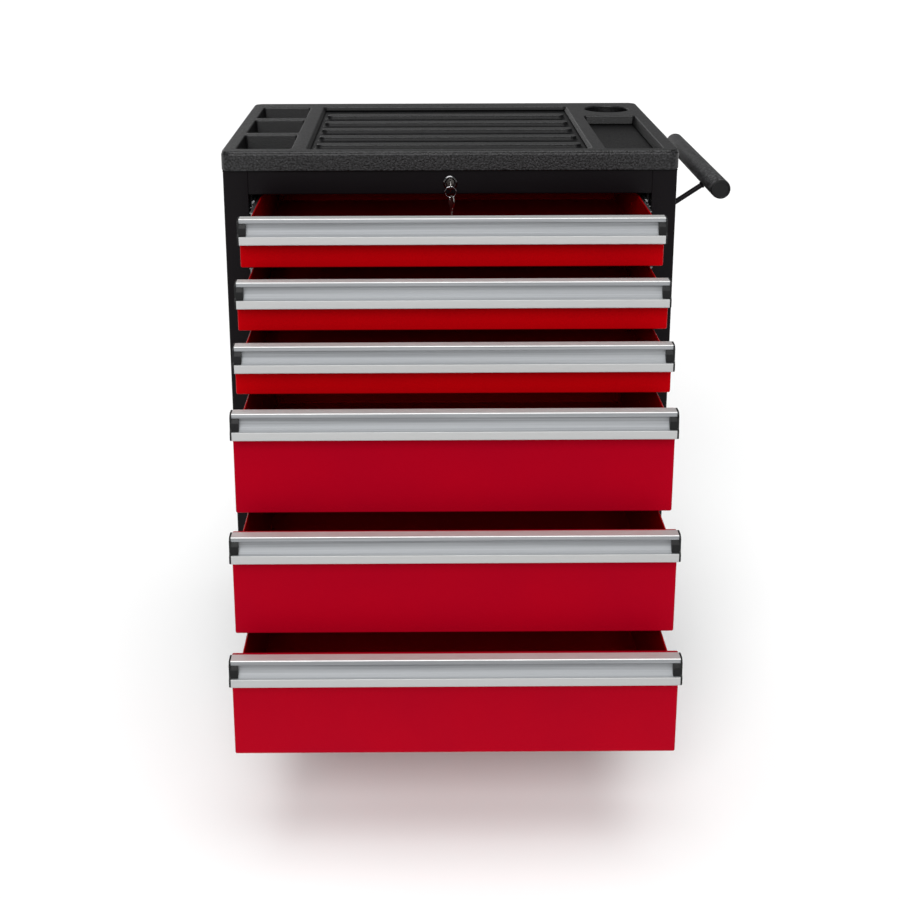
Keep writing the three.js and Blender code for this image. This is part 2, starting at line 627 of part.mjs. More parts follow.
[['front', CASTER_Y[0]], ['back', CASTER_Y[1]]].forEach(([where, y]) => {
  const fixed = new THREE.Group();
  fixed.position.set(-CASTER_X, y, 0);
  const swivel = new THREE.Group();
  swivel.position.set(CASTER_X, y, 0);
  chest.add(fixed, swivel);
  piece(`fixed_caster_${where}_bracket`, fixedBracket(), zinc, fixed);
  piece(`fixed_caster_${where}_axle`, axle(), zinc, fixed).position.set(0, 0, WHEEL_RADIUS);
  piece(`fixed_caster_${where}_wheel`, wheel(), tyreRubber, fixed).position.set(0, 0, WHEEL_RADIUS);
  piece(`swivel_caster_${where}_plate`, swivelPlate(), zinc, swivel);
  piece(`swivel_caster_${where}_fork`, swivelFork(), zinc, swivel);
  piece(`swivel_caster_${where}_axle`, axle(), zinc, swivel).position.set(-TRAIL, 0, WHEEL_RADIUS);
  piece(`swivel_caster_${where}_wheel`, wheel(), tyreRubber, swivel)
    .position.set(-TRAIL, 0, WHEEL_RADIUS);
  piece(`swivel_caster_${where}_pedal`, brakePedal(), darkPlastic, swivel);
});

// ---------------------------------------------------------------- origin
const widest = [-TRAY_HALF, GRIP_X + GRIP_RADIUS];
const foremost = -Math.max(...DRAWERS.map(({ open }) => open)) - PULL_OUT;
chest.position.set(-(widest[0] + widest[1]) / 2, -(foremost + TRAY_BACK) / 2, 0);

export default chest;
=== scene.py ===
"""Looks of the rolling tool chest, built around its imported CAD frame. Details are drawn in
millimetres in the cabinet's own frame: x = 0 on its middle, y = 0 on its front, z = 0 on the
floor. piece() turns them into metres in the row frame."""
import math

import bmesh
import bpy
from mathutils import Matrix, Vector


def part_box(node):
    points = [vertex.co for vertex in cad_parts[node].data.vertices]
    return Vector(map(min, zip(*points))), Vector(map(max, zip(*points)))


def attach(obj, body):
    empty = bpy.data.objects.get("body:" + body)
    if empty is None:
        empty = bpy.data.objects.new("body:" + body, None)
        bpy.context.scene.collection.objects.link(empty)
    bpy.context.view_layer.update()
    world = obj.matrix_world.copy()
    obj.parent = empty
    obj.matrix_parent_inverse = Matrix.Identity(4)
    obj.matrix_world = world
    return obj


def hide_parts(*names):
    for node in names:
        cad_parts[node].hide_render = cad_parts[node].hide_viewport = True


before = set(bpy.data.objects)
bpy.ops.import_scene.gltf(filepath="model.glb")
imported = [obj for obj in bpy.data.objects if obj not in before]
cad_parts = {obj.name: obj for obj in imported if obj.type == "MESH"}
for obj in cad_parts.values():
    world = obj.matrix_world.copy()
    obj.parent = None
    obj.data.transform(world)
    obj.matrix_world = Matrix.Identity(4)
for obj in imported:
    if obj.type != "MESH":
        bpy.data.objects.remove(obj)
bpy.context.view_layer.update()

# ---------------------------------------------------------------- measures, in millimetres
MM = 0.001
tray_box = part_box("top_tray")
deck_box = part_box("top_deck")
ORIGIN = Vector(((tray_box[0].x + tray_box[1].x) / 2, deck_box[0].y, 0.0))


def local_box(node):
    """The node's lowest and highest corner in the cabinet's frame, in millimetres."""
    return tuple((corner - ORIGIN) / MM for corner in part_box(node))


# The cabinet, and the half width of its opening.
HALF_WIDTH = local_box("top_deck")[1].x
DEPTH = local_box("top_deck")[1].y
OPENING = local_box("side_panel_right")[0].x
SHEET = 1.2
# The drawers: half the widths of front, pull and tub, and how far front and tub run back.
DRAWER_COUNT = 6
FRONT_HALF = 300
PULL_HALF = 298.3
TUB_HALF = 285
FRONT_DEPTH = 12
TUB_BACK = FRONT_DEPTH + 400
# How far the front's and the tub's upper edges are below the pull's.
FRONT_DROP = 4.5
TUB_DROP = 6
# The slides: where the posts stand, and the balls' distance from the middle of the slide.
POST_FRONT = 26
POST_BACK = 412
POST_FACE = 299
RACE_X = 296.5
RACE_RISE = 18.7

# ---------------------------------------------------------------- shape helpers


SIGNS = ((1, 1), (-1, 1), (-1, -1), (1, -1))


def corner_arc(a, b, radius, quarter, steps):
    """The rounded corner of a rectangle whose sharp corner is at a, b; quarters as in SIGNS."""
    a -= SIGNS[quarter][0] * radius
    b -= SIGNS[quarter][1] * radius
    angles = [(quarter + step / steps) * math.pi / 2 for step in range(steps + 1)]
    return [(a + radius * math.cos(angle), b + radius * math.sin(angle)) for angle in angles]


def rounded_rect(half_a, half_b, radius, centre, steps=5):
    """A rounded rectangle as a list of points, the same number for any size."""
    radius = max(0.05, min(radius, half_a - 0.05, half_b - 0.05))
    points = []
    for quarter, (sign_a, sign_b) in enumerate(SIGNS):
        points += corner_arc(centre[0] + sign_a * half_a, centre[1] + sign_b * half_b, radius,
                             quarter, steps)
    return points


def quarter_turn(radius, steps=4):
    """(inset, rise) pairs of a rounded corner, from its flat face to its wall."""
    return [(radius * (1 - math.sin(i / steps * math.pi / 2)),
             radius * (1 - math.cos(i / steps * math.pi / 2))) for i in range(steps + 1)]


def circle(radius, count, centre=(0, 0)):
    """A circle as a list of points."""
    return [(centre[0] + radius * math.cos(math.tau * i / count),
             centre[1] + radius * math.sin(math.tau * i / count)) for i in range(count)]


def fillet(points, radii, closed=True):
    """The outline with its corners rounded to the given radii."""
    steps = 5
    result = []
    last = len(points) - 1
    for index, (point, radius) in enumerate(zip(points, radii)):
        if radius <= 0 or (not closed and index in (0, last)):
            result.append(tuple(point))
            continue
        corner = Vector(point)
        before = (Vector(points[index - 1]) - corner).normalized()
        after = (Vector(points[(index + 1) % len(points)]) - corner).normalized()
        half = before.angle(after) / 2
        centre = corner + (before + after).normalized() * radius / math.sin(half)
        reach = radius / math.tan(half)
        start = corner + before * reach - centre
        end = corner + after * reach - centre
        sweep = start.angle_signed(end)
        for step in range(steps + 1):
            turned = Matrix.Rotation(-sweep * step / steps, 2) @ start
            result.append(tuple(centre + turned))
    return result


def folded_sheet(points, radii, thickness):
    """The closed outline of a folded sheet whose given face follows the points."""
    face = [Vector(p) for p in fillet(points, radii, closed=False)]
    other = []
    for index, point in enumerate(face):
        ahead = face[min(index + 1, len(face) - 1)] - point
        behind = point - face[max(index - 1, 0)]
        if ahead.length < 1e-6:
            ahead = behind
        if behind.length < 1e-6:
            behind = ahead
        ahead, behind = ahead.normalized(), behind.normalized()
        along = (ahead + behind).normalized()
        normal = Vector((-along.y, along.x))
        other.append(point + normal * thickness / max(0.3, along.dot(ahead)))
    return [tuple(p) for p in face] + [tuple(p) for p in reversed(other)]


def map_x(a, b, c):
    """An outline drawn in (y, z) and swept along x."""
    return Vector((c, a, b))


def map_y(a, b, c):
    """An outline drawn in (x, z) and swept along y."""
    return Vector((a, c, b))


def map_z(a, b, c):
    """An outline drawn in (x, y) and swept along z."""
    return Vector((a, b, c))


def loft(bm, rings, ends=True, closed=False):
    """Faces between successive rings of 3D points, with end faces, or closed on itself."""
    made = [[bm.verts.new(p) for p in ring] for ring in rings]
    pairs = list(zip(made, made[1:]))
    if closed:
        pairs.append((made[-1], made[0]))
    for low, high in pairs:
        for i in range(len(low)):
            j = (i + 1) % len(low)
            bm.faces.new((low[i], low[j], high[j], high[i]))
    if ends and not closed:
        bm.faces.new(list(reversed(made[0])))
        bm.faces.new(made[-1])
    return made


def fill_between(bm, rings):
    """One flat face with holes: the first ring is its outline, the others its holes."""
    edges = []
    for ring in rings:
        for i, v in enumerate(ring):
            other = ring[(i + 1) % len(ring)]
            edge = bm.edges.get((v, other)) or bm.edges.new((v, other))
            edges.append(edge)
    bmesh.ops.triangle_fill(bm, use_beauty=True, use_dissolve=False, edges=edges)


def open_loft(bm, rings):
    """As loft, with both ends open. Returns the first and the last ring of vertices."""
    made = loft(bm, rings, ends=False)
    return made[0], made[-1]


def edges_of(vertices):
    """The edges that meet the vertices, each once and always in the same order."""
    return list(dict.fromkeys(edge for v in vertices for edge in v.link_edges))


def prism(bm, outline, low, high, place=map_z, bevel=0.0):
    """The outline swept from low to high; a bevel draws its two ends in a little."""
    rings = [[place(a, b, low) for a, b in outline], [place(a, b, high) for a, b in outline]]
    made = loft(bm, rings)
    if bevel:
        edges = [edge for ring in made for edge in edges_of(ring)
                 if all(v in ring for v in edge.verts)]
        bmesh.ops.bevel(bm, geom=edges, offset=bevel, segments=2, affect="EDGES",
                        clamp_overlap=True)


def block(bm, x, y, z, bevel=0.0):
    """A rectangular block between (low, high) pairs, its edges bevelled."""
    made = bmesh.ops.create_cube(bm, size=1)["verts"]
    for v in made:
        v.co = Vector(((x[0] + x[1]) / 2 + v.co.x * (x[1] - x[0]),
                       (y[0] + y[1]) / 2 + v.co.y * (y[1] - y[0]),
                       (z[0] + z[1]) / 2 + v.co.z * (z[1] - z[0])))
    if bevel:
        bmesh.ops.bevel(bm, geom=edges_of(made), offset=bevel, segments=1, affect="EDGES")


def basis(origin, direction):
    """A matrix that lays local z along the direction, at the origin."""
    turn = Vector(direction).to_track_quat("Z", "Y").to_matrix().to_4x4()
    return Matrix.Translation(Vector(origin)) @ turn


def lathe(bm, profile, origin, direction, count, closed=False):
    """The profile of (radius, height) turned about the direction through the origin."""
    matrix = basis(origin, direction)
    rings = [[matrix @ Vector((a, b, height)) for a, b in circle(max(radius, 0.02), count)]
             for radius, height in profile]
    loft(bm, rings, closed=closed)


def mirrored(half_profile, length):
    """The (radius, height) points of half a profile, and their mirror image at the other end."""
    return half_profile + [(radius, length - height) for radius, height in reversed(half_profile)]


def round_bar(bm, radius, start, end, count=32, bevel=0.4):
    """A bar with round section and slightly rounded ends."""
    run = Vector(end) - Vector(start)
    length = run.length
    profile = [(radius - bevel, 0), (radius, bevel), (radius, length - bevel),
               (radius - bevel, length)]
    lathe(bm, profile, start, run, count)


HEX_POINTS = 24


def hexagon(matrix, flat, level, limit=math.inf):
    """A ring of points on a hexagon; flat is its flats' distance from the middle, and corners
    beyond the limit are cut off."""
    ring = []
    for i in range(HEX_POINTS):
        angle = math.tau * i / HEX_POINTS
        reach = min(flat / math.cos((angle % (math.pi / 3)) - math.pi / 6), limit)
        ring.append(matrix @ Vector((reach * math.cos(angle), reach * math.sin(angle), level)))
    return ring


def hex_socket_screw(bm, origin, direction, radius, height):
    """A button head with a hexagon socket."""
    matrix = basis(origin, direction)
    profile = [(radius, 0), (radius, height * 0.35), (radius * 0.88, height * 0.75),
               (radius * 0.62, height)]
    rings = [[matrix @ Vector((a, b, level)) for a, b in circle(r, HEX_POINTS)]
             for r, level in profile]
    rings += [hexagon(matrix, radius * 0.46, height), hexagon(matrix, radius * 0.44, height * 0.2)]
    loft(bm, rings)


def hex_nut(bm, origin, direction, flat, height):
    """A hexagon nut or bolt head, its corners chamfered at the outer end."""
    matrix = basis(origin, direction)
    loft(bm, [hexagon(matrix, flat, 0), hexagon(matrix, flat, height * 0.8),
              hexagon(matrix, flat, height, flat * 0.98)])


# ---------------------------------------------------------------- pieces


def settle(bm):
    """Closes the mesh, turns its faces outward and takes it to metres in the row frame."""
    bmesh.ops.remove_doubles(bm, verts=bm.verts, dist=0.001)
    bmesh.ops.recalc_face_normals(bm, faces=bm.faces)
    to_row = Matrix.Translation(ORIGIN) @ Matrix.Scale(MM, 4)
    bmesh.ops.transform(bm, matrix=to_row, verts=bm.verts)


def link_mesh(bm, name):
    """An object of the finished mesh, in the scene."""
    mesh = bpy.data.meshes.new(name)
    bm.to_mesh(mesh)
    bm.free()
    obj = bpy.data.objects.new(name, mesh)
    bpy.context.scene.collection.objects.link(obj)
    return obj


def piece(bm, name, body, look, replaces=(), sharp=32.0):
    """A visible piece, shaded smooth where its faces meet at less than the sharp angle."""
    settle(bm)
    limit = math.radians(sharp)
    for face in bm.faces:
        face.smooth = True
    for edge in bm.edges:
        edge.smooth = len(edge.link_faces) == 2 and edge.calc_face_angle(0.0) < limit
    obj = link_mesh(bm, name)
    obj.data.materials.append(look)
    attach(obj, body)
    if replaces:
        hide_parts(*replaces)
    return obj


def keep_node(node, look, bevel):
    """A CAD node that stays, with its own finish and softened edges."""
    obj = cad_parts[node]
    obj.data.materials.clear()
    obj.data.materials.append(look)
    soften(obj, bevel, 40)


def soften(obj, width, angle=50):
    """Small bevels on the edges that are sharper than the angle."""
    soft = obj.modifiers.new("soft_edges", "BEVEL")
    soft.width = width * MM
    soft.segments = 2
    soft.limit_method = "ANGLE"
    soft.angle_limit = math.radians(angle)


def even(obj):
    """Keeps flat faces flat where they run smoothly into rounded edges."""
    shading = obj.modifiers.new("even_shading", "WEIGHTED_NORMAL")
    shading.keep_sharp = True
    shading.weight = 80
    return obj


def drill(obj, tool):
    """Cuts the tool's shape, drawn in the cabinet's frame, out of the piece."""
    settle(tool)
    cutter = link_mesh(tool, "tool")
    cut = obj.modifiers.new("cut", "BOOLEAN")
    cut.operation = "DIFFERENCE"
    cut.solver = "EXACT"
    cut.object = cutter
    bpy.context.view_layer.update()
    graph = bpy.context.evaluated_depsgraph_get()
    shaped = bpy.data.meshes.new_from_object(obj.evaluated_get(graph))
    obj.modifiers.remove(cut)
    obj.data = shaped
    bpy.data.objects.remove(cutter)


# ---------------------------------------------------------------- materials


def new_material(name, base, roughness, metallic=0.0, specular=0.5):
    """A material of one principled shader, with what its textures are wired to."""
    look = bpy.data.materials.new(name)
    look.use_nodes = True
    nodes, links = look.node_tree.nodes, look.node_tree.links
    shader = nodes["Principled BSDF"]
    shader.inputs["Base Color"].default_value = (*base, 1)
    shader.inputs["Roughness"].default_value = roughness
    shader.inputs["Metallic"].default_value = metallic
    shader.inputs["Specular IOR Level"].default_value = specular
    return look, nodes, links, shader


def object_noise(nodes, links, scale, detail, stretch=(1, 1, 1)):
    """Noise fixed to the piece, in metres, stretched along its axes."""
    place = nodes.new("ShaderNodeTexCoord")
    mapping = nodes.new("ShaderNodeMapping")
    mapping.inputs["Scale"].default_value = stretch
    noise = nodes.new("ShaderNodeTexNoise")
    noise.inputs["Scale"].default_value = scale
    noise.inputs["Detail"].default_value = detail
    links.new(place.outputs["Object"], mapping.inputs["Vector"])
    links.new(mapping.outputs["Vector"], noise.inputs["Vector"])
    return noise.outputs["Fac"]


def object_cells(nodes, links, scale):
    """Voronoi cells fixed to the piece."""
    place = nodes.new("ShaderNodeTexCoord")
    cells = nodes.new("ShaderNodeTexVoronoi")
    cells.inputs["Scale"].default_value = scale
    links.new(place.outputs["Object"], cells.inputs["Vector"])
    return cells.outputs["Distance"]


def ramp(nodes, links, source, stops):
    """The source turned into colour, between two (position, colour) stops."""
    node = nodes.new("ShaderNodeValToRGB")
    for element, (position, colour) in zip(node.color_ramp.elements, stops):
        element.position = position
        element.color = (*colour, 1)
    links.new(source, node.inputs["Fac"])
    return node.outputs["Color"]


def spread(nodes, links, source, low, high):
    """The middle of the source's range stretched from low to high."""
    node = nodes.new("ShaderNodeMapRange")
    node.inputs["From Min"].default_value = 0.3
    node.inputs["From Max"].default_value = 0.7
    node.inputs["To Min"].default_value = low
    node.inputs["To Max"].default_value = high
    links.new(source, node.inputs["Value"])
    return node.outputs["Result"]


def bump(nodes, links, shader, source, distance, under=None):
    """Relief of that height in millimetres, on top of the relief under it."""
    node = nodes.new("ShaderNodeBump")
    node.inputs["Distance"].default_value = distance * MM
    node.inputs["Strength"].default_value = 1
    links.new(source, node.inputs["Height"])
    if under is not None:
        links.new(under, node.inputs["Normal"])
    links.new(node.outputs["Normal"], shader.inputs["Normal"])
    return node.outputs["Normal"]


def painted(name, base, dark, roughness, specular, tint=(1, 1, 1)):
    """Powder coat: orange peel, a slightly clouded colour and a sheen with fine specks."""
    look, nodes, links, shader = new_material(name, base, roughness, specular=specular)
    cloud = object_noise(nodes, links, 9, detail=4)
    colour = ramp(nodes, links, cloud, [(0.3, dark), (0.7, base)])
    links.new(colour, shader.inputs["Base Color"])
    speck = object_noise(nodes, links, 420, detail=2)
    rough = spread(nodes, links, speck, roughness - 0.05, roughness + 0.09)
    links.new(rough, shader.inputs["Roughness"])
    shader.inputs["Specular Tint"].default_value = (*tint, 1)
    orange_peel = object_noise(nodes, links, 260, detail=1.5)
    bump(nodes, links, shader, orange_peel, 0.05)
    return look


def brushed(name, base, streak, roughness, along, depth=0.02, run=1.2, across=60):
    """Metal with lines along one axis; run and across are how often they change each way."""
    look, nodes, links, shader = new_material(name, base, roughness, metallic=1.0)
    stretch = [across] * 3
    stretch[along] = run
    lines = object_noise(nodes, links, 40, detail=4, stretch=stretch)
    colour = ramp(nodes, links, lines, [(0.3, streak), (0.7, base)])
    links.new(colour, shader.inputs["Base Color"])
    rough = spread(nodes, links, lines, roughness - 0.06, roughness + 0.1)
    links.new(rough, shader.inputs["Roughness"])
    bump(nodes, links, shader, lines, depth)
    return look


def plated(name, base, dull, roughness, scale=30):
    """Plated steel with a slightly uneven sheen."""
    look, nodes, links, shader = new_material(name, base, roughness, metallic=1.0)
    cloud = object_noise(nodes, links, scale, detail=5)
    colour = ramp(nodes, links, cloud, [(0.3, dull), (0.7, base)])
    links.new(colour, shader.inputs["Base Color"])
    rough = spread(nodes, links, cloud, roughness - 0.05, roughness + 0.12)
    links.new(rough, shader.inputs["Roughness"])
    grain = object_noise(nodes, links, 700, detail=2)
    bump(nodes, links, shader, grain, 0.012)
    return look


def grained_plastic(name, base, light, roughness, cell_scale, depth, specular=0.4):
    """Moulded plastic with a leathery grain: cells under a finer relief, paler where it is high."""
    look, nodes, links, shader = new_material(name, base, roughness, specular=specular)
    cells = object_cells(nodes, links, cell_scale)
    fine = object_noise(nodes, links, cell_scale * 0.8, detail=3)
    colour = ramp(nodes, links, fine, [(0.42, base), (0.64, light)])
    links.new(colour, shader.inputs["Base Color"])
    rough = spread(nodes, links, fine, roughness - 0.1, roughness + 0.12)
    links.new(rough, shader.inputs["Roughness"])
    under = bump(nodes, links, shader, fine, depth * 0.7)
    bump(nodes, links, shader, cells, depth, under=under)
    return look


BLACK = painted("black_powder_coat", (0.0038, 0.0028, 0.0036), (0.0030, 0.0022, 0.0028), 0.4, 0.08)
INSIDE_BLACK = painted("black_inside_coat", (0.007, 0.007, 0.0073), (0.006, 0.006, 0.006), 0.55, 0.1)
RED_SMALL = painted("red_powder_coat_small", (0.35, 0.0003, 0.002), (0.33, 0.0003, 0.0024), 0.36,
                    0.16, (1, 0.02, 0.03))
# A darker, bluer copy of the red for the tall drawers' fronts: painted shade and painted reflection of
# the floor.
RED_LARGE_SHADE_AND_REFLECTION = painted("red_coat_large_painted_shade_and_reflection", (0.285, 0.0003, 0.0075), (0.265, 0.0003, 0.008), 0.36,
                    0.16, (1, 0.02, 0.05))
RED_INSIDE = painted("red_inside_coat", (0.27, 0.0003, 0.0015), (0.24, 0.0003, 0.0015), 0.38, 0.3,
                     (1, 0.02, 0.03))
ALUMINIUM = brushed("satin_aluminium", (0.385, 0.397, 0.409), (0.22, 0.229, 0.239), 0.66,
                    along=0, depth=0.001, run=0.07, across=9)
# Lighter copies of the aluminium for the pull's front band and top edge: painted sheen and painted
# highlight.
BAND_PAINTED_SHEEN = brushed("band_painted_sheen", (0.47, 0.475, 0.475), (0.45, 0.455, 0.455), 0.62, along=0,
               depth=0.001)
EDGE_PAINTED_HIGHLIGHT = brushed("edge_painted_highlight", (0.66, 0.66, 0.655), (0.63, 0.63, 0.625), 0.62, along=0, depth=0.001)
ZINC = plated("zinc_plate", (0.52, 0.53, 0.54), (0.40, 0.41, 0.42), 0.34)
SLIDE_ZINC = brushed("rolled_zinc", (0.34, 0.345, 0.35), (0.25, 0.255, 0.26), 0.4, along=1)
CHROME = plated("chrome_plate", (0.44, 0.44, 0.45), (0.36, 0.36, 0.37), 0.12, 12)
# A much darker copy of the chrome for the lock's flange: painted shade.
FLANGE_CHROME_PAINTED_SHADE = plated("flange_chrome_painted_shade", (0.11, 0.11, 0.113), (0.08, 0.08, 0.082), 0.12, 12)
NICKEL = plated("nickel_silver", (0.36, 0.35, 0.33), (0.28, 0.27, 0.255), 0.25, 40)
# A darker copy of the nickel for the lock's core and the key in it: painted shade.
NICKEL_PAINTED_SHADE = plated("nickel_painted_shade", (0.13, 0.125, 0.118), (0.085, 0.082, 0.078), 0.25, 60)
BALL_STEEL = plated("ball_steel", (0.34, 0.34, 0.35), (0.28, 0.28, 0.28), 0.2, 60)
TRAY = grained_plastic("tray_plastic", (0.001, 0.001, 0.0011), (0.021, 0.021, 0.0225), 0.36,
                       cell_scale=400, depth=0.42, specular=0.28)
# The tray's recesses: a finer, less shiny grain, and a darker colour that is painted shade.
RECESS_PAINTED_SHADE = grained_plastic("tray_recess_painted_shade", (0.0012, 0.0012, 0.0013), (0.007, 0.007, 0.0075),
                         0.42, cell_scale=620, depth=0.22, specular=0.14)
CAP = grained_plastic("cap_plastic", (0.005, 0.0052, 0.0055), (0.009, 0.0092, 0.0098), 0.42,
                      cell_scale=1500, depth=0.04, specular=0.14)
FOAM = grained_plastic("grip_foam", (0.002, 0.002, 0.0022), (0.075, 0.075, 0.078), 0.55,
                       cell_scale=300, depth=0.45, specular=0.35)
TYRE = grained_plastic("tyre_rubber", (0.010, 0.010, 0.010), (0.018, 0.018, 0.018), 0.72,
                       cell_scale=1100, depth=0.08)
POST = painted("post_coat", (0.010, 0.010, 0.0105), (0.008, 0.008, 0.0085), 0.5, 0.15)
CORE = grained_plastic("wheel_core", (0.05, 0.05, 0.052), (0.07, 0.07, 0.072), 0.45,
                       cell_scale=1500, depth=0.05)

# ---------------------------------------------------------------- cabinet


def side_panel(side):
    """Wall, front flange with its return lip, and back flange, folded from one sheet."""
    node = "side_panel_right" if side > 0 else "side_panel_left"
    low, high = local_box(node)
    lip, back_flange = 22, 20
    path = [(OPENING, lip), (OPENING, 0), (HALF_WIDTH, 0), (HALF_WIDTH, DEPTH),
            (HALF_WIDTH - back_flange, DEPTH)]
    outline = folded_sheet(path, [0, 0.8, 3.4, 2.4, 0], SHEET)
    bm = bmesh.new()
    prism(bm, [(side * x, y) for x, y in outline], low.z, high.z)
    piece(bm, node + "_sheet", "cabinet", BLACK, [node])
    screws = bmesh.new()
    screw_x = side * (HALF_WIDTH - back_flange / 2)
    for height in (low.z + 40, (low.z + high.z) / 2, high.z - 40):
        hex_socket_screw(screws, (screw_x, DEPTH - 0.1, height), (0, 1, 0), 3.2, 1.8)
    piece(screws, node + "_back_screws", "cabinet", CAP)


def top_rail():
    """The rail above the drawers, with the hole of the lock."""
    low, high = local_box("front_top_rail")
    path = [(0, high.z), (0, low.z), (high.y, low.z)]
    bm = bmesh.new()
    prism(bm, folded_sheet(path, [0, 2.0, 0], SHEET), low.x, high.x, map_x)
    rail = piece(bm, "front_top_rail_sheet", "cabinet", BLACK, ["front_top_rail"])
    housing = local_box("lock_housing")
    centre = (housing[0] + housing[1]) / 2
    hole_radius = 9.6
    tool = bmesh.new()
    round_bar(tool, hole_radius, (centre.x, -6, centre.z), (centre.x, 6, centre.z), bevel=0)
    drill(rail, tool)


def base():
    """The base sheet and the folded sill that stands on its front edge."""
    low, high = local_box("base_pan")
    half = OPENING - 0.3
    sill_depth = 22
    bm = bmesh.new()
    path = [(sill_depth, high.z), (0, high.z), (0, low.z + SHEET + 0.05)]
    prism(bm, folded_sheet(path, [0, 2.0, 0], SHEET), -half, half, map_x)
    piece(bm, "sill", "cabinet", BLACK, ["base_pan"])
    bm = bmesh.new()
    floor = rounded_rect(HALF_WIDTH, DEPTH / 2, 3, (0, DEPTH / 2))
    prism(bm, floor, low.z, low.z + SHEET, map_z, 0.35)
    piece(bm, "base_sheet", "cabinet", INSIDE_BLACK, ["base_pan"])


def back_panel():
    """The back sheet with a shallow pressed field, its rivets in the side panels' flanges."""
    low, high = local_box("back_panel")
    centre_z = (low.z + high.z) / 2
    half_x = high.x
    half_z = (high.z - low.z) / 2
    rim, field = 44, 52
    press = 3.0

    def ring(inset, y, radius):
        shape = rounded_rect(half_x - inset, half_z - inset, radius, (0, centre_z))
        return [Vector((a, y, b)) for a, b in shape]

    bm = bmesh.new()
    loft(bm, [ring(field, low.y - press, 20), ring(rim, low.y, 26), ring(0, low.y, 2),
              ring(0, high.y, 2), ring(rim, high.y, 26), ring(field, high.y - press, 20)])
    piece(bm, "back_sheet", "cabinet", BLACK, ["back_panel"], sharp=20)
    rivets = bmesh.new()
    margin = 60
    gaps = 6
    dome = [(3.0, 0), (2.9, 0.5), (2.3, 1.1), (1.2, 1.5), (0, 1.6)]
    for side in (-1, 1):
        for step in range(gaps + 1):
            z = low.z + margin + step * (high.z - low.z - 2 * margin) / gaps
            lathe(rivets, dome, (side * (HALF_WIDTH - 15), DEPTH - 0.05, z), (0, 1, 0), 16)
    piece(rivets, "back_rivets", "cabinet", CAP)


def slide_rack(side):
    """Two folded posts, and the fixed member of each drawer's slide."""
    node = "slide_rack_right" if side > 0 else "slide_rack_left"
    low, high = local_box(node)
    bm = bmesh.new()
    wall = HALF_WIDTH - SHEET - 0.3
    flange = 10
    for y, way in ((POST_FRONT, 1), (POST_BACK, -1)):
        path = [(wall, y), (POST_FACE, y), (POST_FACE, y + way * flange)]
        outline = folded_sheet(path, [0, 2.2, 0], -way * 1.5)
        prism(bm, [(side * a, b) for a, b in outline], low.z, high.z)
    piece(bm, node + "_posts", "cabinet", POST, [node])
    bm = bmesh.new()
    web, lips, rise = POST_FACE + 0.4, POST_FACE - 3.6, 21
    for number in range(1, DRAWER_COUNT + 1):
        z = slide_height(number)
        path = [(lips, z + rise), (web, z + rise), (web, z - rise), (lips, z - rise)]
        outline = folded_sheet(path, [0, 2.4, 2.4, 0], -1.4)
        prism(bm, [(side * a, b) for a, b in outline], POST_FRONT - 12, POST_BACK, map_y)
    piece(bm, node + "_members", "cabinet", SLIDE_ZINC, [node])


def slide_height(number):
    """The height of the middle of a drawer's slides."""
    low, high = local_box(f"drawer_{number}_slide_left")
    return (low.z + high.z) / 2


# ---------------------------------------------------------------- drawers


def drawer_pan(bm, front, bottom, top):
    """The folded front: a face with rounded edges and flanges that run back."""
    centre = (0, (bottom + top) / 2)
    half_z = (top - bottom) / 2

    def ring(inset, y):
        shape = rounded_rect(FRONT_HALF - inset, half_z - inset, max(2.6 - inset, 0.6), centre)
        return [Vector((a, front + y, b)) for a, b in shape]

    fold = 1.7
    edge = FRONT_DEPTH - 0.3
    rings = [ring(1 + inset, 1 + rise) for inset, rise in quarter_turn(fold - 1)]
    rings += [ring(1, edge), ring(0.8, FRONT_DEPTH), ring(0.2, FRONT_DEPTH), ring(0, edge)]
    rings += [ring(inset, rise) for inset, rise in reversed(quarter_turn(fold, 6))]
    loft(bm, rings)


def drawer_tub(bm, front, bottom, rim):
    """The box: pressed floor, walls and an outward hem along the rim."""
    floor = bottom + 5

    def ring(inset, z):
        points = []
        for quarter, (sign_a, sign_b) in enumerate(SIGNS):
            back = sign_b > 0
            y = front + (TUB_BACK - inset if back else FRONT_DEPTH + inset)
            radius = 14 - inset if back else max(4 - inset, 1)
            points += corner_arc(sign_a * (TUB_HALF - inset), y, radius, quarter, 6)
        return [Vector((a, b, z)) for a, b in points]

    rings = [ring(1 + inset, floor + 1 + rise) for inset, rise in quarter_turn(2.5)]
    rings += [ring(1, rim - 1), ring(0.75, rim - 0.35), ring(0.2, rim), ring(-0.6, rim),
              ring(-1.15, rim - 0.35), ring(-1.4, rim - 1), ring(-1.4, rim - 7), ring(-1.1, rim - 7.5),
              ring(0, rim - 7.6)]
    rings += [ring(inset, floor + rise) for inset, rise in reversed(quarter_turn(3.5))]
    loft(bm, rings)


def bezier(start, first, second, end, steps):
    """The points of a cubic curve after its start."""
    points = []
    for i in range(1, steps + 1):
        t = i / steps
        weights = ((1 - t) ** 3, 3 * t * (1 - t) ** 2, 3 * t * t * (1 - t), t ** 3)
        points.append(tuple(sum(w * p[axis] for w, p in zip(weights, (start, first, second, end)))
                            for axis in (0, 1)))
    return points


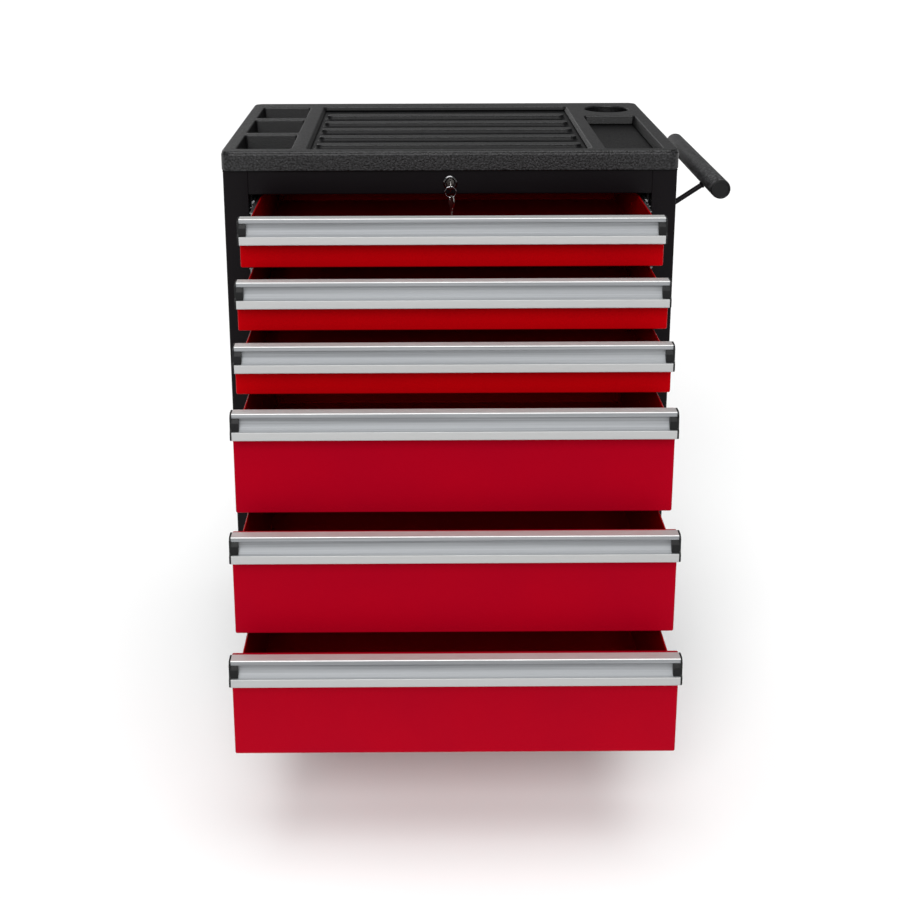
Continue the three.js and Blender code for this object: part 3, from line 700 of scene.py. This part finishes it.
def pull_profile():
    """The extrusion in section, (y, z) from the drawer's face and its upper edge."""
    front_curve = bezier((-13.4, -7.4), (-11, -13), (-12.5, -22.5), (-20.3, -26.3), 12)
    back_curve = bezier((-18.4, -27.2), (-10.6, -24), (-9, -13.5), (-11, -7), 10)
    lip = fillet([(-0.3, 0), (-17, 0), (-17, -6.6), (-13.4, -7.4)], [0, 1.5, 0.9, 0], closed=False)
    band = fillet([(-20.3, -26.3), (-20.9, -24.9), (-22.5, -24.9), (-22.5, -37), (-20.5, -37),
                   (-20.5, -28), (-18.4, -27.2)], [0, 0.4, 0.7, 1.3, 0.6, 0.6, 0], closed=False)
    inside = [(-11, -1.8), (-2, -1.8), (-2, -30), (-0.3, -30)]
    return lip + front_curve[:-1] + band + back_curve + inside


def pull_cap(bm, side, front, top):
    """The cover over an end of the pull, with its plug in the groove."""
    plate = fillet([(-0.3, 0), (-18.5, 0), (-19.5, -22), (-22.5, -25.4), (-22.5, -37), (-0.3, -37)],
                   [0.6, 5.5, 4, 1.5, 2, 0.6])
    ends = sorted((side * (PULL_HALF + 0.05), side * (FRONT_HALF + 0.8)))
    prism(bm, [(front + a, top + b) for a, b in plate], *ends, map_x, 0.7)
    plug = fillet([(-11.7, -6.9), (-16.6, -6.6), (-19.3, -13), (-20.2, -24.9), (-12.6, -20.5)],
                  [0.5, 1.2, 4, 0.6, 2])
    ends = sorted((side * (PULL_HALF - 9.5), side * (PULL_HALF + 0.2)))
    prism(bm, [(front + a, top + b) for a, b in plug], *ends, map_x, 0.9)


def inner_member(bm, side, front, z):
    """The slide's inner channel, fixed to the tub's wall."""
    web, lips, rise = TUB_HALF + 0.1, TUB_HALF + 5, 17
    path = [(lips, z + rise), (web, z + rise), (web, z - rise), (lips, z - rise)]
    outline = folded_sheet(path, [0, 2.2, 2.2, 0], 1.2)
    start = front + FRONT_DEPTH + 1.2
    prism(bm, [(side * a, b) for a, b in outline], start, front + TUB_BACK, map_y)


def ball_cage(bm, side, start, z):
    """A strip with its balls in the race between the outer and the intermediate member."""
    strip = sorted((side * (RACE_X - 1), side * (RACE_X + 0.9)))
    half_gauge = 0.35
    for level in (z - RACE_RISE, z + RACE_RISE):
        block(bm, strip, (start + 30, start + 330), (level - half_gauge, level + half_gauge), 0.15)
        for step in range(8):
            spot = Matrix.Translation((side * RACE_X, start + 45 + step * 38.5, level))
            bmesh.ops.create_icosphere(bm, subdivisions=2, radius=0.85, matrix=spot)


def drawer_sheets(name, low, top):
    """The front and the tub; the tall drawers' front takes a darker, bluer copy of the red: painted
    shade and painted reflection.
    """
    node = f"{name}_box"
    bm = bmesh.new()
    drawer_pan(bm, low.y, low.z, top - FRONT_DROP)
    # Tall fronts take the darker, bluer copy of the red: painted shade and painted reflection.
    paint = RED_SMALL if top - low.z < 100 else RED_LARGE_SHADE_AND_REFLECTION
    even(piece(bm, f"{name}_front", name, paint, [node], sharp=50))
    bm = bmesh.new()
    drawer_tub(bm, low.y, low.z, top - TUB_DROP)
    even(piece(bm, f"{name}_tub", name, RED_INSIDE, [node], sharp=50))


def drawer_fittings(name, front, rim, z):
    """Rivets, the slides' inner members and the striker that the lock bar holds."""
    node = f"{name}_box"
    rivets = bmesh.new()
    members = bmesh.new()
    dome = [(3.4, 0), (3.2, 0.5), (2.4, 0.95), (1.1, 1.2), (0, 1.25)]
    for side in (-1, 1):
        for y in (front + 48, front + 214, front + 380):
            lathe(rivets, dome, (side * (TUB_HALF - 0.95), y, z), (-side, 0, 0), 16)
        inner_member(members, side, front, z)
    piece(rivets, f"{name}_rivets", name, RED_INSIDE)
    piece(members, f"{name}_inner_members", name, SLIDE_ZINC, [node])
    striker = bmesh.new()
    start = front + TUB_BACK + 0.1
    end = front + TUB_BACK + 14
    path = [(start, rim - 0.5), (end, rim - 0.5), (end, rim - 10)]
    prism(striker, folded_sheet(path, [0, 2.2, 0], -1.5), -10, 10, map_x)
    piece(striker, f"{name}_striker", name, ZINC, [node])


def drawer_pull(name, front, top):
    """The extrusion, with lighter copies of its aluminium on its front band (painted sheen) and its
    top edge (painted highlight), and its two caps.
    """
    node = f"{name}_pull"
    bm = bmesh.new()
    profile = [(front + a, top + b) for a, b in pull_profile()]
    prism(bm, profile, -PULL_HALF, PULL_HALF, map_x)
    for face in bm.faces:
        spot = face.calc_center_median()
        # The front band takes a painted sheen and the top edge a painted highlight.
        if spot.y < front - 20 and spot.z < top - 24:
            face.material_index = 1
        elif spot.z > top - 0.9:
            face.material_index = 2
    shown = even(piece(bm, f"{node}_profile", name, ALUMINIUM, [node], sharp=28))
    shown.data.materials.append(BAND_PAINTED_SHEEN)
    shown.data.materials.append(EDGE_PAINTED_HIGHLIGHT)
    caps = bmesh.new()
    for side in (-1, 1):
        pull_cap(caps, side, front, top)
    piece(caps, f"{node}_caps", name, CAP, [node], sharp=40)


def drawer(number):
    """A drawer with its pull, and the moving members and balls of its two slides."""
    name = f"drawer_{number}"
    low = local_box(f"{name}_box")[0]
    top = local_box(f"{name}_pull")[1].z
    z = slide_height(number)
    drawer_sheets(name, low, top)
    drawer_fittings(name, low.y, top - TUB_DROP, z)
    drawer_pull(name, low.y, top)
    for side, word in ((-1, "left"), (1, "right")):
        slide = f"{name}_slide_{word}"
        keep_node(slide, SLIDE_ZINC, 0.35)
        balls = bmesh.new()
        ball_cage(balls, side, local_box(slide)[0].y, z)
        piece(balls, f"{slide}_balls", f"slide_{number}", BALL_STEEL)


# ---------------------------------------------------------------- top tray


def top_tray():
    """The moulded tray: outer skirt, bins, ribbed mat recess, square recess and cup holder."""
    low, high = local_box("top_tray")
    half = high.x
    middle = (low.y + high.y) / 2
    half_y = (high.y - low.y) / 2
    top = high.z
    bm = bmesh.new()

    def outer(inset, z):
        shape = rounded_rect(half - inset, half_y - inset, 16 - inset, (0, middle), 8)
        return [Vector((a, b, z)) for a, b in shape]

    rim = 1.1
    rings = [outer(rim + inset, top - rise) for inset, rise in quarter_turn(2.6, 5)]
    rings += [outer(rim, top - 4.2), outer(rim - 0.2, top - 4.7), outer(0.35, top - 5),
              outer(0.05, top - 5.5), outer(0, top - 6.3), outer(0, low.z + 1.2),
              outer(0.4, low.z + 0.35), outer(1.2, low.z), outer(2.8, low.z), outer(3, low.z + 2)]
    mouth, inner = open_loft(bm, rings)
    bm.faces.new(inner)
    mouths = [mouth]

    def pocket(x, y, depth, corner, ribs=()):
        """A recess with a rounded mouth and foot, and ribs at the given places on its floor."""
        centre = ((x[0] + x[1]) / 2, (y[0] + y[1]) / 2)
        half_a, half_b = (x[1] - x[0]) / 2, (y[1] - y[0]) / 2

        def ring(grow, z):
            shape = rounded_rect(half_a + grow, half_b + grow, corner + grow, centre)
            return [Vector((a, b, z)) for a, b in shape]

        edge = 1.8
        foot = min(3.0, depth / 3)
        rings = [ring(inset, top - rise) for inset, rise in quarter_turn(edge)]
        rings += [ring(-0.9 - foot + inset, top - depth + rise)
                  for inset, rise in reversed(quarter_turn(foot))]
        first, last = open_loft(bm, rings)
        mouths.append(first)
        fill_between(bm, [last] + [rib(place, top - depth) for place in ribs])

    def rib(y, floor):
        """A rib that rises from the floor in a cove. Returns its foot."""
        half_length, half_width, height = 202, 10, 7
        crown, cove = 1.3, 5.4

        def ring(grow, z):
            end = half_width + grow
            shape = rounded_rect(half_length + grow, end, end, (-1, y))
            return [Vector((a, b, z)) for a, b in shape]

        rings = [ring(inset, floor + rise) for inset, rise in quarter_turn(cove, 5)]
        rings += [ring(-inset, floor + height - rise)
                  for inset, rise in reversed(quarter_turn(crown))]
        first, last = open_loft(bm, rings)
        bm.faces.new(last)
        return first

    bin_depth, mat_depth, square_depth = 24, 8, 16
    for y in ((17, 136), (157, 280), (302, 415)):
        pocket((-321, -238), y, bin_depth, 5)
    pocket((-215, 213), (12, 420), mat_depth, 7, ribs=(62, 130, 198, 266, 338))
    pocket((233, 320), (10, 316), square_depth, 6)

    cup_centre = (281, 390)
    cup_radius, cup_depth = 38, 22

    def cup(inset, depth):
        shape = circle(cup_radius - inset, 48, cup_centre)
        return [Vector((a, b, top - depth)) for a, b in shape]

    rings = [cup(-inset, rise) for inset, rise in quarter_turn(2.4)]
    rings += [cup(0.6, cup_depth - 4), cup(1.5, cup_depth - 1), cup(4.5, cup_depth)]
    first, last = open_loft(bm, rings)
    bm.faces.new(last)
    mouths.append(first)
    fill_between(bm, mouths)
    # Faces down in the recesses take the recess plastic, whose darker colour is painted shade.
    border = 4
    for face in bm.faces:
        spot = face.calc_center_median()
        inside = abs(spot.x) < half - border and abs(spot.y - middle) < half_y - border
        face.material_index = int(inside and spot.z < top - 2.3)
    tray = even(piece(bm, "tool_tray", "cabinet", TRAY, ["top_tray"], sharp=38))
    tray.data.materials.append(RECESS_PAINTED_SHADE)


# ---------------------------------------------------------------- push handle


def push_handle():
    """The grip with its end caps, on a frame of a bar and two rods."""
    low, high = local_box("handle_grip")
    centre = (low + high) / 2
    radius = (high.x - low.x) / 2
    length = high.y - low.y
    bore = 8.4
    bm = bmesh.new()
    half_profile = [(bore, 0), (radius - 1.6, 0), (radius - 0.5, 0.5), (radius, 1.8)]
    lathe(bm, mirrored(half_profile, length), (centre.x, low.y, centre.z), (0, 1, 0), 64, closed=True)
    piece(bm, "grip_sleeve", "cabinet", FOAM, ["handle_grip"])
    profile = [(0, 6.5), (7.4, 6.5), (7.4, 1.9), (14.6, 1.9), (14.6, 1.2), (14.1, 0.4), (13.1, 0),
               (11.9, 0), (11.3, 0.4), (11, 1.3), (0, 1.3)]
    for node, corner, way in (("grip_cap_front", 0, -1), ("grip_cap_back", 1, 1)):
        outside = local_box(node)[corner].y
        bm = bmesh.new()
        lathe(bm, profile, (centre.x, outside, centre.z), (0, -way, 0), 48)
        piece(bm, f"{node}_plug", "cabinet", CAP, [node])
    bm = bmesh.new()
    round_bar(bm, 8, (centre.x, low.y + 4, centre.z), (centre.x, high.y - 4, centre.z))
    piece(bm, "grip_bar", "cabinet", BLACK, ["handle_frame"])
    handle_rods(centre)


def handle_rods(centre):
    """Each rod leans from a boss on its foot plate to a collar under the grip's bar."""
    side_face = local_box("handle_frame")[0].x
    plate = 3
    foot_z = local_box("handle_frame")[0].z + 16
    rod_drop = 3
    rods, plates, screws = bmesh.new(), bmesh.new(), bmesh.new()
    for y in (90, 322):
        foot = Vector((side_face + plate - 0.1, y, foot_z))
        head = Vector((centre.x, y, centre.z - rod_drop))
        along = (head - foot).normalized()
        round_bar(rods, 4, foot, head, 28, 0)
        boss = [(0, 0), (6.8, 0), (6.6, 1.4), (5.2, 3.2), (4.1, 5.2), (0, 5.2)]
        lathe(rods, boss, foot + along * 0.6, along, 28)
        collar = [(0, 0), (4.6, 0), (5.2, 0.8), (5.4, 3), (0, 3)]
        lathe(rods, collar, head - along * 16, along, 28)
        outline = rounded_rect(26, 16, 5, (y, foot_z))
        prism(plates, outline, side_face, side_face + plate, map_x, 0.6)
        for side in (-1, 1):
            spot = (side_face + plate - 0.05, y + side * 18.5, foot_z)
            hex_socket_screw(screws, spot, (1, 0, 0), 4.2, 2.4)
    piece(rods, "handle_rods", "cabinet", BLACK, ["handle_frame"])
    piece(plates, "handle_foot_plates", "cabinet", BLACK, ["handle_frame"])
    piece(screws, "handle_screws", "cabinet", ZINC)


# ---------------------------------------------------------------- lock and keys


def flat_plate(bm, loops, half, place):
    """A flat piece with holes; the first loop is its outline."""
    levels = []
    for level in (-half, half):
        rings = [[bm.verts.new(place(a, b, level)) for a, b in loop] for loop in loops]
        fill_between(bm, rings)
        levels.append(rings)
    for low_ring, high_ring in zip(*levels):
        for i in range(len(low_ring)):
            j = (i + 1) % len(low_ring)
            bm.faces.new((low_ring[i], low_ring[j], high_ring[j], high_ring[i]))


def key_outline(blade, half, bow):
    """The key in (along, across): the bow left of 0 and the cut blade right of it."""
    points = []
    steps, gap = 24, 28
    for i in range(steps + 1):
        angle = math.radians(gap + i * (360 - 2 * gap) / steps)
        points.append((1 - bow + bow * math.cos(angle), bow * math.sin(angle)))
    points += [(2.5, -half), (2.5, -half - 0.6), (4, -half - 0.6), (4, -half)]
    points += [(blade - 3, -half), (blade, -half + 2.6), (blade - 2, half - 1.2)]
    depths = (1.4, 2.6, 0.9, 2.2, 1.6)
    for i, depth in enumerate(depths):
        centre = blade - 4.6 - i * 3.8
        points += [(centre + 1.7, half), (centre + 0.6, half - depth), (centre - 0.6, half - depth)]
    points += [(4, half), (4, half + 0.6), (2.5, half + 0.6), (2.5, half)]
    return points


def lock():
    """The flanged housing, its nut behind the rail, and the core with slot and driving pin."""
    low, high = local_box("lock_housing")
    z = (low.z + high.z) / 2
    bm = bmesh.new()
    profile = [(6.7, low.y + 0.7), (7.1, low.y + 0.15), (7.8, low.y), (9.4, low.y + 0.1),
               (10.5, low.y + 0.7), (11, low.y + 1.7), (11, -0.4), (9.3, -0.35), (9.3, 20), (6.7, 20)]
    lathe(bm, profile, (0, 0, z), (0, 1, 0), 48, closed=True)
    # The flange takes the darker copy of the chrome: painted shade.
    piece(bm, "lock_flange", "cabinet", FLANGE_CHROME_PAINTED_SHADE, ["lock_housing"])
    bm = bmesh.new()
    nut = [(9.5, 3.2), (12.5, 3.2), (13, 3.7), (13, 6.8), (12.5, 7.3), (9.5, 7.3)]
    lathe(bm, nut, (0, 0, z), (0, 1, 0), 6, closed=True)
    piece(bm, "lock_nut", "cabinet", ZINC)
    face = local_box("lock_plug")[0].y
    bm = bmesh.new()
    profile = [(0, face), (5.6, face), (6.3, face + 0.7), (6.3, 21.2), (9, 21.2), (9, 24), (0, 24)]
    lathe(bm, profile, (0, 0, z), (0, 1, 0), 40)
    # The core takes the darker copy of the nickel: painted shade.
    core = piece(bm, "lock_core", "lock_plug", NICKEL_PAINTED_SHADE, ["lock_plug"])
    slot = bmesh.new()
    block(slot, (-1.1, 1.1), (-5, 17), (z - 4, z + 4))
    drill(core, slot)
    pin = 6.4 * math.sqrt(0.5)
    bm = bmesh.new()
    round_bar(bm, 1.5, (-pin, 23.5, z - pin), (-pin, 30, z - pin), 20, 0.3)
    piece(bm, "lock_pin", "lock_plug", ZINC, ["lock_plug"])


def keys():
    """The split ring, the key in the lock and the spare key that hangs from the ring."""
    low, high = local_box("key_ring")
    y = (low.y + high.y) / 2
    lock_low, lock_high = local_box("lock_housing")
    lock_z = (lock_low.z + lock_high.z) / 2
    wire = (high.y - low.y) / 2
    radius = (high.z - low.z) / 2 - wire
    bm = bmesh.new()
    for side in (-1, 1):
        coil = [(radius + a, side * wire * 0.45 + b) for a, b in wire_section(wire)]
        lathe(bm, coil, (0, y, low.z + wire + radius), (0, 1, 0), 48, closed=True)
    piece(bm, "split_ring", "key_ring", CHROME, ["key_ring"])

    half_blade, bow, half_gauge = 3.4, 9, 0.8
    hole, hole_radius = 12, 2.6

    def in_lock(a, b, c):
        return Vector((c, y + hole + a, lock_z + b))

    bm = bmesh.new()
    loops = [key_outline(27, half_blade, bow), circle(hole_radius, 20, (-hole, 0))]
    flat_plate(bm, loops, half_gauge, in_lock)
    # The key in the lock takes the darker nickel copy, painted shade; the spare key keeps the plain
    # nickel.
    soften(piece(bm, "key_blank", "lock_plug", NICKEL_PAINTED_SHADE, ["key"]), 0.25)
    turn = Matrix.Rotation(0.45, 4, "Z")
    hole_z = low.z + wire - 1.6
    hole_side = 3.6

    def hanging(a, b, c):
        place = turn @ Vector((c, -hole_side - b, 0))
        return Vector((place.x, y + place.y, hole_z - hole - a))

    bm = bmesh.new()
    loops = [key_outline(26, half_blade, bow), circle(hole_radius, 20, (-hole, -hole_side))]
    flat_plate(bm, loops, half_gauge, hanging)
    soften(piece(bm, "spare_key_blank", "key_ring", NICKEL), 0.25)


def wire_section(wire):
    """One turn of the split ring's wire in section, wider across the ring than along its axis."""
    turns = [i / 10 * math.tau for i in range(10)]
    return [(wire * 0.85 * math.cos(turn), wire * 0.52 * math.sin(turn)) for turn in turns]


# ---------------------------------------------------------------- casters


def wheel(node, body):
    """A tyre on a spoked core."""
    low, high = local_box(node)
    centre = (low + high) / 2
    radius = (high.z - low.z) / 2
    width = high.y - low.y
    start = (centre.x, low.y, centre.z)
    bm = bmesh.new()
    tread = [(37.5, 2.6), (39, 2), (44.5, 2), (47, 3), (48.8, 4.8), (radius, 8)]
    lathe(bm, mirrored(tread, width), start, (0, 1, 0), 72, closed=True)
    piece(bm, f"{node}_tyre", body, TYRE, [node])
    bm = bmesh.new()
    web = 6.6
    core = [(6.3, 0.2), (13.6, 0.2), (14.6, 1), (15.2, 6), (18, web), (32, web), (34.6, 5.2),
            (35.4, 3), (37.4, 2.8)]
    lathe(bm, mirrored(core, width), start, (0, 1, 0), 56, closed=True)
    for way, face in ((-1, low.y + web), (1, high.y - web)):
        middle = Vector((centre.x, face, centre.z))
        for number in range(6):
            spoke(bm, middle, way, number * math.tau / 6 + 0.4)
    piece(bm, f"{node}_core", body, CORE, [node])


def spoke(bm, middle, way, angle):
    """A rib on the wheel's web, lower at its outer end."""
    ahead = Vector((math.cos(angle), 0, math.sin(angle)))
    inner, outer = middle + ahead * 15.5, middle + ahead * 33.5
    across = Vector((-math.sin(angle), 0, math.cos(angle))) * 1.4
    tall = Vector((0, way * 3.6, 0))
    low = tall * 0.35
    sunk = Vector((0, -way * 0.6, 0))
    loft(bm, [[inner + across + sunk, outer + across + sunk, outer - across + sunk,
               inner - across + sunk],
              [inner + across + tall, outer + across + low, outer - across + low,
               inner - across + tall]])


def axle(node, body):
    """A bolt with its head and nut."""
    low, high = local_box(node)
    centre = (low + high) / 2
    bm = bmesh.new()
    round_bar(bm, 6, (centre.x, low.y + 2, centre.z), (centre.x, high.y - 2, centre.z))
    hex_nut(bm, (centre.x, low.y + 4.7, centre.z), (0, -1, 0), 8.0, 4.7)
    hex_nut(bm, (centre.x, high.y - 4.7, centre.z), (0, 1, 0), 8.0, 3.9)
    piece(bm, f"{node}_bolt", body, ZINC, [node])


def caster(side, where):
    """A caster and its plate's bolts: fixed on the left, swivelling with a brake on the right."""
    word = "fixed" if side < 0 else "swivel"
    name = f"{word}_caster_{where}"
    plate = f"{name}_bracket" if side < 0 else f"{name}_plate"
    low, high = local_box(plate)
    centre = (low + high) / 2
    keep_node(plate, ZINC, 0.8)
    bolts = bmesh.new()
    washer = 0.8
    for a in (-37, 37):
        for b in (-24, 24):
            spot = Vector((centre.x + a, centre.y + b, high.z - 2.95))
            lathe(bolts, [(0, 0), (6.6, 0), (6.6, washer), (0, washer)], spot, (0, 0, -1), 24)
            hex_nut(bolts, spot - Vector((0, 0, washer)), (0, 0, -1), 4.8, 3.2)
    piece(bolts, f"{name}_plate_bolts", "cabinet", BALL_STEEL)
    if side < 0:
        axle(f"{name}_axle", "cabinet")
        wheel(f"{name}_wheel", f"fixed_wheel_{where}")
        return
    keep_node(f"{name}_fork", ZINC, 0.6)
    axle(f"{name}_axle", f"swivel_fork_{where}")
    wheel(f"{name}_wheel", f"swivel_wheel_{where}")
    keep_node(f"{name}_pedal", CAP, 0.8)


# ---------------------------------------------------------------- assembly

side_panel(-1)
side_panel(1)
top_rail()
base()
back_panel()
slide_rack(-1)
slide_rack(1)
keep_node("top_deck", INSIDE_BLACK, 0.3)
keep_node("lock_bar", ZINC, 0.3)
top_tray()
push_handle()
lock()
keys()
for each in range(1, DRAWER_COUNT + 1):
    drawer(each)
for place in ("front", "back"):
    caster(-1, place)
    caster(1, place)

# ---------------------------------------------------------------- floor, light and camera


def studio():
    """A pale floor under an even white sky."""
    bm = bmesh.new()
    floor_radius = 60
    loft(bm, [[Vector((x, y, z)) for x, y in circle(floor_radius, 64)] for z in (-0.02, 0)])
    floor = link_mesh(bm, "studio_floor")
    floor.data.materials.append(new_material("pale_floor", (0.9, 0.9, 0.9), 0.9, specular=0.1)[0])
    world = bpy.data.worlds.new("studio")
    bpy.context.scene.world = world
    world.use_nodes = True
    sky = world.node_tree.nodes["Background"]
    sky.inputs["Color"].default_value = (1, 1, 1, 1)
    sky.inputs["Strength"].default_value = 0.25


def soft_sun(name, towards, spread_degrees, strength):
    """An even light that comes from the given direction, from a wide soft source."""
    data = bpy.data.lights.new(name, "SUN")
    data.energy = strength
    data.angle = math.radians(spread_degrees)
    lamp = bpy.data.objects.new(name, data)
    lamp.location = Vector(towards) * 4
    lamp.rotation_euler = Vector(towards).to_track_quat("Z", "Y").to_euler()
    bpy.context.scene.collection.objects.link(lamp)


def camera():
    """The photograph's view, from the front and looking a little down."""
    data = bpy.data.cameras.new("camera")
    data.lens = 57.0
    data.sensor_width = 36
    data.shift_x = 0.022
    data.shift_y = -0.1848
    data.clip_end = 200
    ahead = Matrix.Rotation(math.pi / 2, 3, "X")
    look_down = Matrix.Rotation(math.radians(-15.86), 3, "X")
    look_aside = Matrix.Rotation(math.radians(-0.309), 3, "Y")
    roll = Matrix.Rotation(math.radians(-0.146), 3, "Z")
    turn = ahead @ look_aside @ look_down @ roll
    view = bpy.data.objects.new("camera", data)
    view.matrix_world = Matrix.Translation((-0.0823, -2.1115, 1.3179)) @ turn.to_4x4()
    bpy.context.scene.collection.objects.link(view)
    bpy.context.scene.camera = view


studio()
soft_sun("overhead", (0.04, -0.2, 1), 45, 1.5)
soft_sun("frontal", (-0.12, -1, 0.6), 40, 2.9)
soft_sun("back", (-0.55, 1, 0.36), 36, 0.36)
camera()
bpy.context.scene.view_settings.view_transform = "Standard"
bpy.context.scene.view_settings.look = "None"
